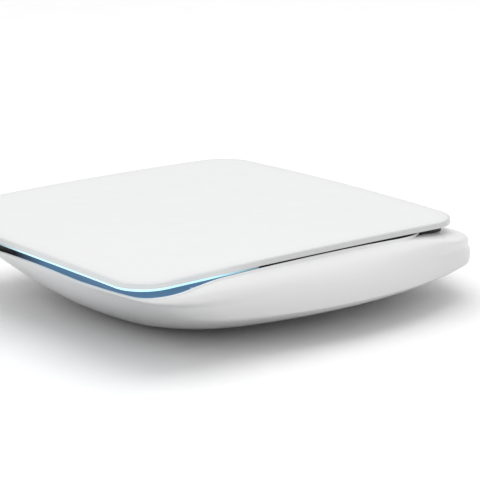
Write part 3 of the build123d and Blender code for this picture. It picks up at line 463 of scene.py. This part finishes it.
def circuit(name, mask, trace, scale):
    """A circuit board: solder mask with thin paler traces and dotted plated holes."""
    shader = Shader(name)
    bricks = shader.node("ShaderNodeTexBrick")
    bricks.inputs["Scale"].default_value = scale
    bricks.inputs["Mortar Size"].default_value = TRACE_WIDTH
    bricks.inputs["Mortar Smooth"].default_value = TRACE_EDGE
    bricks.inputs["Brick Width"].default_value = TRACE_LENGTH
    bricks.inputs["Row Height"].default_value = TRACE_PITCH
    shader.link(shader.position(), bricks.inputs["Vector"])
    dots = shader.node("ShaderNodeTexVoronoi")
    dots.inputs["Scale"].default_value = scale * HOLE_CROWDING
    shader.link(shader.position(), dots.inputs["Vector"])
    plated = shader.spread(dots.outputs["Distance"], *HOLE_RANGE, 1.0, 0.0)
    traced = shader.mix(bricks.outputs["Fac"], mask, trace)
    shader.colour(shader.mix(plated, traced, HOLE_COLOUR))
    shader.roughness(shader.spread(shader.noise(MASK_SCALE), *NOISE_RANGE, *MASK_ROUGHNESS))
    shader.bump(bricks.outputs["Fac"], TRACE_HEIGHT)
    return shader


def panel_shader():
    """The white panel: painted shade darkens it softly towards the rounded edge and greys its side, and
    a painted pale cyan glow lies along its rim where the guide is lit.
    """
    shader = moulded("panel_white", 0.24, coat=0.15, specular=0.4)
    distance = shader.edge_distance(PANEL_HALF, PANEL_CORNER, PANEL_ARC)
    # Painted shade: the white darkens softly towards the panel's edge and is grey on its side
    painted_shade = shader.ramp(shader.spread(distance, -EDGE_SHADE_BAND, 0.0, 0.0, 1.0), PANEL_PAINTED_SHADE)
    shader.white_with_painted_shade(painted_shade, *PANEL_WHITES)
    # Painted glow: pale cyan along the panel's rim where the guide is lit
    rim = shader.spread(distance, -EDGE_PAINTED_GLOW_BAND, 0.0, 0.0, 1.0)
    lit_rim = shader.math("MULTIPLY", shader.guide_share(), rim)
    shader.glow(EDGE_GLOW_COLOUR, shader.math("MULTIPLY", lit_rim, EDGE_PAINTED_GLOW_POWER))
    return shader


def shell_shader():
    """The white housing, with painted shade that deepens towards its base."""
    shader = Shader("housing_white")
    # Painted shade: the white darkens with falling height towards the base
    climb = shader.spread(shader.axes()["Z"], PAINTED_SHADE_BASE, PAINTED_SHADE_TOP, 0.0, 1.0)
    shader.white_with_painted_shade(shader.ramp(climb, SHELL_PAINTED_SHADE), *SHELL_WHITES)
    patches = shader.noise(SHELL_GLOSS_SCALE, 2.0)
    shader.roughness(shader.spread(patches, *NOISE_RANGE, *SHELL_ROUGHNESS))
    shader.set(Coat_Weight=0.2, Coat_Roughness=COAT_ROUGHNESS)
    return shader


def lit_guide():
    """Frosted clear plastic that glows pale cyan."""
    shader = Shader("lit_guide")
    shader.colour(shader.mix(shader.noise(FROST_SCALE), *FROST_COLOURS))
    shader.set(Roughness=0.35)
    shader.glow(GUIDE_GLOW_COLOUR, shader.guide_share())
    shader.bump(shader.noise(FROST_GRAIN_SCALE, 2.0), FROST_GRAIN)
    return shader


def lit_neck():
    """Dark smoked plastic with a painted glow that stands in for a little of the guide's light falling
    on it.
    """
    shader = plastic("smoked_neck", (0.045, 0.048, 0.052), 0.55, grain=0.01 * MM, specular=0.15)
    # Painted glow: dim blue where the guide is lit
    shader.glow(NECK_GLOW_COLOUR, shader.math("MULTIPLY", shader.guide_share(), NECK_GLOW))
    return shader


def smooth(value, low, high):
    """Nought below low, one above high and an even rise between."""
    share = min(max((value - low) / (high - low), 0.0), 1.0)
    return share * share * (3 - 2 * share)


def superellipse(run, reach, power):
    """How far a curve has come in after 'run' of its 'reach', starting upright."""
    share = min(max(run / reach, 0.0), 1.0)
    return 1 - (1 - share**power) ** (1 / power)


def inset(depth, widest, base_inset, power, top_inset):
    """How far the housing lies inside its widest outline at a depth below the rim."""
    if depth >= widest:
        return base_inset * superellipse(depth - widest, BODY_DEPTH - widest, power)
    return top_inset * superellipse(widest - depth, widest - HOUSING_TOP, 2)


def quadrant(half_x, half_y, radius, arc):
    """Plan points from a side's middle to an end's middle: long arc, corner arc, long arc."""
    side_centre = half_x - arc
    end_centre = half_y - arc
    reach = arc - radius
    apart = math.hypot(side_centre, end_centre)
    across = math.sqrt(reach**2 - apart**2 / 4)
    corner_x = side_centre / 2 - across * end_centre / apart
    corner_y = end_centre / 2 - across * side_centre / apart
    start = math.atan2(corner_y, corner_x - side_centre)
    end = math.atan2(corner_y - end_centre, corner_x)
    arcs = (
        (side_centre, 0.0, arc, 0.0, start),
        (corner_x, corner_y, radius, start, end),
        (0.0, end_centre, arc, end, math.pi / 2),
    )
    points = []
    for x, y, size, first, last in arcs:
        for step in range(ARC_STEPS):
            angle = first + (last - first) * step / ARC_STEPS
            points.append((x + size * math.cos(angle), y + size * math.sin(angle)))
    return points + [(0.0, half_y)]


def outline(front, side, rear, front_radius, rear_radius, arc):
    """Plan points round a bowed rectangle, given by its reaches from the panel's middle."""
    half_y = (front + rear) / 2
    middle = PANEL_Y + (rear - front) / 2
    limit = CORNER_LIMIT * min(side, half_y)
    back = quadrant(side, half_y, min(rear_radius, limit), arc)
    face = quadrant(side, half_y, min(front_radius, limit), arc)
    points = [(x, middle + y) for x, y in back]
    points += [(-x, middle + y) for x, y in reversed(back[:-1])]
    points += [(-x, middle - y) for x, y in face[1:]]
    points += [(x, middle - y) for x, y in reversed(face[1:-1])]
    return points


def housing_section(depth):
    """The housing's outline at a depth below the rim."""
    front = FRONT_REACH - inset(depth, FRONT_WIDEST, FRONT_BASE_INSET, UNDERSIDE_POWER, FRONT_LIP)
    side = SIDE_REACH - inset(depth, SIDE_WIDEST, SIDE_BASE_INSET, UNDERSIDE_POWER, SIDE_SHOULDER)
    rear = REAR_REACH - inset(depth, TAIL_WIDEST, TAIL_BASE_INSET, TAIL_POWER, TAIL_SHOULDER)
    growth = min(max((depth - GROWTH_START) / (BODY_DEPTH - GROWTH_START), 0.0), 1.0)
    growth *= smooth(depth, BOW_START, BOW_FULL)
    arc = 1 / (1 / RIM_ARC + (1 / BASE_ARC - 1 / RIM_ARC) * (1 - (1 - growth) ** 2))
    front_radius = RIM_CORNER + (FRONT_BASE_CORNER - RIM_CORNER) * growth
    rear_radius = RIM_CORNER + (REAR_BASE_CORNER - RIM_CORNER) * growth
    return outline(front, side, rear, front_radius, rear_radius, arc)


def neck_plan(margin):
    """The neck's outline in plan, grown by a margin."""
    radii = (NECK_FRONT_CORNER + margin, NECK_REAR_CORNER + margin)
    return outline(NECK_FRONT + margin, NECK_SIDE + margin, NECK_REAR + margin, *radii, PANEL_ARC)


def panel_plan(margin):
    """The panel's outline in plan, drawn in by a margin."""
    reach = PANEL_HALF - margin
    return outline(reach, reach, reach, PANEL_CORNER - margin, PANEL_CORNER - margin, PANEL_ARC)


def rim_depth(x, y):
    """How far below the panel's rim the housing's upper edge runs at a plan point."""
    side = CREST_DEPTH + (y - CREST_Y) ** 2 / (2 * CREST_ARC)
    if y > RIM_PIVOT_Y:
        return side
    front = FRONT_RIM_DEPTH + FRONT_RIM_DIP * min((x / RIM_DIP_REACH) ** 2, 1.0)
    turn = math.degrees(math.atan2(abs(x) - RIM_PIVOT_X, RIM_PIVOT_Y - y))
    return front + (side - front) * smooth(turn, RIM_TURN_START, RIM_TURN_END)


def upper_table():
    """Depths and outlines from the housing's top to the level where its rings are level."""
    fall = LEVEL_DEPTH - HOUSING_TOP
    depths = [HOUSING_TOP + fall * (step / TABLE_STEPS) ** 2 for step in range(TABLE_STEPS + 1)]
    return depths, [housing_section(depth) for depth in depths]


def at_depth(table, station, depth):
    """The plan point of one station of the housing at a depth in the table."""
    depths, sections = table
    share = max((depth - HOUSING_TOP) / (LEVEL_DEPTH - HOUSING_TOP), 0.0) ** 0.5 * TABLE_STEPS
    number = min(int(share), TABLE_STEPS - 1)
    part = (depth - depths[number]) / (depths[number + 1] - depths[number])
    first = sections[number][station]
    second = sections[number + 1][station]
    return first[0] + (second[0] - first[0]) * part, first[1] + (second[1] - first[1]) * part


def rim_depths(table):
    """The depth of the housing's upper edge at every station."""
    depths = []
    for station in range(len(table[1][0])):
        depth = FRONT_RIM_DEPTH
        for _ in range(RIM_SOLVE_STEPS):
            depth = rim_depth(*at_depth(table, station, depth))
        depths.append(depth)
    return depths


def drawn_in(points, step):
    """A closed run of points moved to its inner side by a step."""
    moved = []
    for number, (x, y, z) in enumerate(points):
        before = points[number - 1]
        after = points[(number + 1) % len(points)]
        along = Vector((after[0] - before[0], after[1] - before[1])).normalized()
        moved.append((x - along.y * step, y + along.x * step, z))
    return moved


def raised(points, rise):
    """A run of points moved up."""
    return [(x, y, z + rise) for x, y, z in points]


def inner_of(points, others):
    """At each station the plan point nearer to the middle, at the first run's height."""
    chosen = []
    for first, second in zip(points, others):
        nearer = min(first, second, key=lambda point: math.hypot(point[0], point[1] - PANEL_Y))
        chosen.append((nearer[0], nearer[1], first[2]))
    return chosen


def housing_rings():
    """The housing's rings from its hidden top, over the lip, to its base, and the groove's two."""
    table = upper_table()
    rims = rim_depths(table)
    lips = [depth + LIP_ROUND for depth in rims]

    def ring(depths):
        """The housing's points at one depth for each station."""
        return [(*at_depth(table, number, depth), RIM - depth) for number, depth in enumerate(depths)]

    edge = ring(lips)
    foot = ring([depth + GROOVE_DEPTH + 2 * LIP_ROUND for depth in rims])
    floor = ring([depth + GROOVE_DEPTH for depth in rims])
    inner_edge = drawn_in(edge, LIP_WALL)
    rings = [inner_of(drawn_in(foot, LIP_WALL), inner_edge), raised(inner_edge, LIP_INNER_RISE)]
    for angle in LIP_ANGLES:
        turn = math.radians(angle)
        lip = drawn_in(edge, LIP_ROUND * (1 - math.cos(turn)))
        rings.append(raised(lip, LIP_RISE * math.sin(turn)))
    for step in range(UPPER_RINGS + 1):
        share = (step / UPPER_RINGS) ** 2
        rings.append(ring([lip + (LEVEL_DEPTH - lip) * share for lip in lips]))
    for step in range(1, LOWER_RINGS + 1):
        share = math.sin(math.pi / 2 * step / LOWER_RINGS) ** LOWER_CROWDING
        depth = LEVEL_DEPTH + (BODY_DEPTH - LEVEL_DEPTH) * share
        rings.append([(x, y, RIM - depth) for x, y in housing_section(depth)])
    groove_top = drawn_in(edge, LIP_WALL + GROOVE_GAP)
    groove_floor = inner_of(drawn_in(floor, LIP_WALL + GROOVE_GAP), groove_top)
    return rings, groove_floor, groove_top


def join_rings(build, rings, closed):
    """Quads between each ring of vertices and the next."""
    count = len(rings[0])
    for first, second in zip(rings, rings[1:]):
        for number in range(count if closed else count - 1):
            following = (number + 1) % count
            build.faces.new((first[number], first[following], second[following], second[number]))


def loft(name, rings, closed=True):
    """Quads between rings of points, capped by a fan at both ends when the rings are closed."""
    build = bmesh.new()
    made = [[build.verts.new(point) for point in ring] for ring in rings]
    count = len(made[0])
    join_rings(build, made, closed)
    for ring in (made[0], made[-1]) if closed else ():
        middle = build.verts.new(sum((vert.co for vert in ring), Vector()) / count)
        for number in range(count):
            build.faces.new((ring[number], ring[(number + 1) % count], middle))
    bmesh.ops.recalc_face_normals(build, faces=build.faces)
    return finish_mesh(name, build)


def smooth_faces(mesh):
    """Smooth shading with crisp real edges."""
    mesh.shade_smooth()
    mesh.set_sharp_from_angle(angle=SHARP_ANGLE)


def finish_mesh(name, build):
    """Turns a bmesh into an object with smooth faces and crisp real edges."""
    mesh = bpy.data.meshes.new(name)
    build.to_mesh(mesh)
    build.free()
    smooth_faces(mesh)
    piece = bpy.data.objects.new(name, mesh)
    bpy.context.scene.collection.objects.link(piece)
    return piece


def block(low, high):
    """A plain box between two corners, to cut with."""
    build = bmesh.new()
    bmesh.ops.create_cube(build, size=1.0)
    for vert in build.verts:
        vert.co = [low[axis] + (high[axis] - low[axis]) * (vert.co[axis] + 0.5) for axis in range(3)]
    return finish_mesh("cutter", build)


def cut(piece, cutters):
    """Takes the cutters out of a piece for good and removes them."""
    for cutter in cutters:
        modifier = piece.modifiers.new("cut", "BOOLEAN")
        modifier.operation = "DIFFERENCE"
        modifier.solver = "EXACT"
        modifier.object = cutter
    state = bpy.context.evaluated_depsgraph_get()
    carved = bpy.data.meshes.new_from_object(piece.evaluated_get(state))
    piece.modifiers.clear()
    old = piece.data
    piece.data = carved
    carved.name = old.name + "_cut"
    bpy.data.meshes.remove(old)
    for cutter in cutters:
        bpy.data.meshes.remove(cutter.data)
    smooth_faces(carved)


def dress(piece, shader):
    """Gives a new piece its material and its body."""
    piece.data.materials.append(shader.material)
    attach(piece, "base")


def panel_underside(x, y):
    """The height of the domed panel's underside at a plan point."""
    return PANEL_BASE + PANEL_CROWN * (1 - (x / PANEL_HALF) ** 2 - ((y - PANEL_Y) / PANEL_HALF) ** 2)


def add_bead(glow):
    """The glowing bead under the panel's edge, a bar swept along the lit stretch."""
    section = (
        (0.0, -BEAD_BITE),
        (0.0, 0.7 * BEAD_HEIGHT),
        (0.1 * BEAD_WIDTH, 0.92 * BEAD_HEIGHT),
        (0.3 * BEAD_WIDTH, BEAD_HEIGHT),
        (BEAD_WIDTH, BEAD_HEIGHT),
        (BEAD_WIDTH, -BEAD_BITE),
    )
    start_x = LIT_START_X - LIT_FADE
    end_y = LIT_END_Y + LIT_FADE
    path = [(x, y) for x, y in panel_plan(BEAD_INSET) if x > start_x and y < end_y]
    build = bmesh.new()
    rings = []
    for number, (x, y) in enumerate(path):
        before = path[max(number - 1, 0)]
        after = path[min(number + 1, len(path) - 1)]
        along = Vector((after[0] - before[0], after[1] - before[1])).normalized()
        base = panel_underside(x, y)
        points = [(x - along.y * step, y + along.x * step, base - drop) for step, drop in section]
        rings.append([build.verts.new(point) for point in points])
    join_rings(build, rings, True)
    build.faces.new(rings[0])
    build.faces.new(list(reversed(rings[-1])))
    bmesh.ops.recalc_face_normals(build, faces=build.faces)
    dress(finish_mesh("light_bead", build), glow)


def bay_cutters():
    """Blocks for the port plate's pocket, the cable bay and the bay's open floor."""
    wall_y = PANEL_Y + NECK_REAR + FIT_GAP
    low_x = BAY_CENTRE - BAY_HALF
    high_x = BAY_CENTRE + BAY_HALF
    plate_low_x = BAY_CENTRE - PORT_HALF
    plate_high_x = BAY_CENTRE + PORT_HALF
    return (
        block((plate_low_x, POCKET_FRONT, BAY_FLOOR), (plate_high_x, wall_y, OVER_TOP)),
        block((low_x, wall_y - FIT_GAP, BAY_FLOOR), (high_x, PAST_TAIL, OVER_TOP)),
        block((low_x, wall_y + BAY_LEDGE, -RIM), (high_x, PAST_TAIL, OVER_TOP)),
    )


def add_housing(rings, white):
    """The white shell with its cable bay, which stands for the housing."""
    housing = loft("housing_shell", rings)
    cut(housing, bay_cutters())
    dress(housing, white)
    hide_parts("housing")


def add_groove(groove_floor, groove_top, smoked):
    """The dark groove between the neck and the shell's lip, open towards the rear: a dark trim laid in
    as painted shade under the panel's edge, carrying the neck's painted glow.
    """
    neck_wall = neck_plan(GROOVE_GAP)
    count = len(neck_wall)
    rear_middle = count // 4
    groove = [[], [], [], []]
    for station in [*range(rear_middle, count), *range(rear_middle)]:
        wall = neck_wall[station]
        outer = groove_floor[station]
        if outer[1] < GROOVE_REAR:
            groove[0].append((*wall, max(NECK_OVERLAP, outer[2] + GROOVE_SEAT)))
            groove[1].append((*wall, outer[2]))
            groove[2].append(outer)
            groove[3].append(groove_top[station])
    # The dark trim is painted shade in the gap under the panel, and its material adds the painted glow
    dress(loft("groove_shade_trim", groove, closed=False), smoked)


def paint(name, shader):
    """Gives a node of the frame one material in every slot."""
    mesh = nodes[name].data
    if not mesh.materials:
        mesh.materials.append(None)
    for number in range(len(mesh.materials)):
        mesh.materials[number] = shader.material


def paint_casing(white, smoked, glow):
    """The outer pieces, the port plate, the feet and the button."""
    paint("top_panel", panel_shader())
    paint("housing", white)
    paint("neck_frame", smoked)
    paint("light_guide", glow)
    paint("panel_carrier", plastic("carrier_black", (0.03, 0.03, 0.033), 0.5, grain=0.02 * MM))
    paint("port_panel", plastic("rear_black", (0.028, 0.028, 0.03), 0.45, grain=0.03 * MM))
    rubber = plastic("foot_rubber", (0.045, 0.045, 0.045), 0.8, grain=0.05 * MM, grain_scale=1500.0)
    paint("rubber_feet", rubber)
    paint("pairing_button", plastic("button_grey", (0.55, 0.55, 0.54), 0.35, grain=0.01 * MM))


def paint_boards():
    """The circuit boards and what is soldered to them."""
    paint("main_board", circuit("board_green", (0.012, 0.085, 0.035), (0.03, 0.17, 0.07), 260.0))
    paint("led_board", circuit("board_white", (0.74, 0.75, 0.72), (0.60, 0.60, 0.55), 260.0))
    module_blue = circuit("board_blue", (0.010, 0.035, 0.14), (0.03, 0.08, 0.25), 420.0)
    for name in ("zigbee_module", "wifi_module"):
        paint(name, module_blue)
    paint("wifi_antenna", circuit("board_antenna", (0.02, 0.12, 0.06), (0.50, 0.36, 0.14), 150.0))
    chip_black = plastic("chip_black", (0.018, 0.018, 0.02), 0.55, grain=0.02 * MM)
    for name in ("processor", "memory_chip", "flash_chip", "regulators"):
        paint(name, chip_black)
    insulator_black = plastic("insulator_black", (0.02, 0.02, 0.022), 0.42, grain=0.01 * MM)
    for name in ("ethernet_jack", "ethernet_magnetics", "power_jack", "pairing_switch", "reset_switch"):
        paint(name, insulator_black)
    paint("inductors", plastic("ferrite", (0.055, 0.055, 0.058), 0.7, grain=0.04 * MM))
    paint("thermal_pad", plastic("pad_blue", (0.25, 0.32, 0.42), 0.85, grain=0.04 * MM))
    paint("status_leds", plastic("led_body", (0.80, 0.76, 0.40), 0.3))
    paint("led_ribbon", plastic("ribbon_film", (0.62, 0.65, 0.68), 0.4))
    paint("ribbon_sockets", plastic("socket_ivory", (0.62, 0.57, 0.46), 0.5, grain=0.02 * MM))
    paint("antenna_lead", plastic("lead_black", (0.02, 0.02, 0.02), 0.4))
    for name in ("pairing_plunger", "reset_plunger"):
        paint(name, plastic(name + "_red", (0.35, 0.03, 0.02), 0.45))


def paint_metal():
    """The shields, contacts, cans and screws."""
    tinned = metal("tinned_sheet", (0.62, 0.63, 0.64), 0.32)
    for name in ("shield_can", "zigbee_shield", "wifi_shield", "ethernet_shell", "crystals"):
        paint(name, tinned)
    paint("ethernet_contacts", metal("contact_gold", (0.83, 0.60, 0.24), 0.22))
    paint("power_jack_pin", metal("pin_nickel", (0.72, 0.71, 0.68), 0.18))
    screw_steel = metal("screw_zinc", (0.58, 0.59, 0.60), 0.34, stretch=(1.0, 1.0, 1.0))
    for name in ("housing_screws", "board_screws"):
        paint(name, screw_steel)
    paint("capacitors", metal("capacitor_can", (0.70, 0.71, 0.72), 0.3, stretch=(1.0, 1.0, 12.0)))


def add_floor():
    """A plain pale floor under the object."""
    mesh = bpy.data.meshes.new("floor")
    build = bmesh.new()
    signs = ((-1, -1), (1, -1), (1, 1), (-1, 1))
    build.faces.new([build.verts.new((x * FLOOR_REACH, y * FLOOR_REACH, 0.0)) for x, y in signs])
    build.to_mesh(mesh)
    build.free()
    floor = bpy.data.objects.new("floor", mesh)
    bpy.context.scene.collection.objects.link(floor)
    shader = plastic("floor_paper", (0.90, 0.90, 0.90), 0.9, grain=0.02 * MM, shade=0.99)
    mesh.materials.append(shader.material)


add_camera()
add_world()
bpy.context.scene.view_settings.view_transform = "Standard"
add_key_light()

glow = lit_guide()
white = shell_shader()
smoked = lit_neck()
rings, groove_floor, groove_top = housing_rings()
add_bead(glow)
add_housing(rings, white)
add_groove(groove_floor, groove_top, smoked)
paint_casing(white, smoked, glow)
paint_boards()
paint_metal()
add_floor()
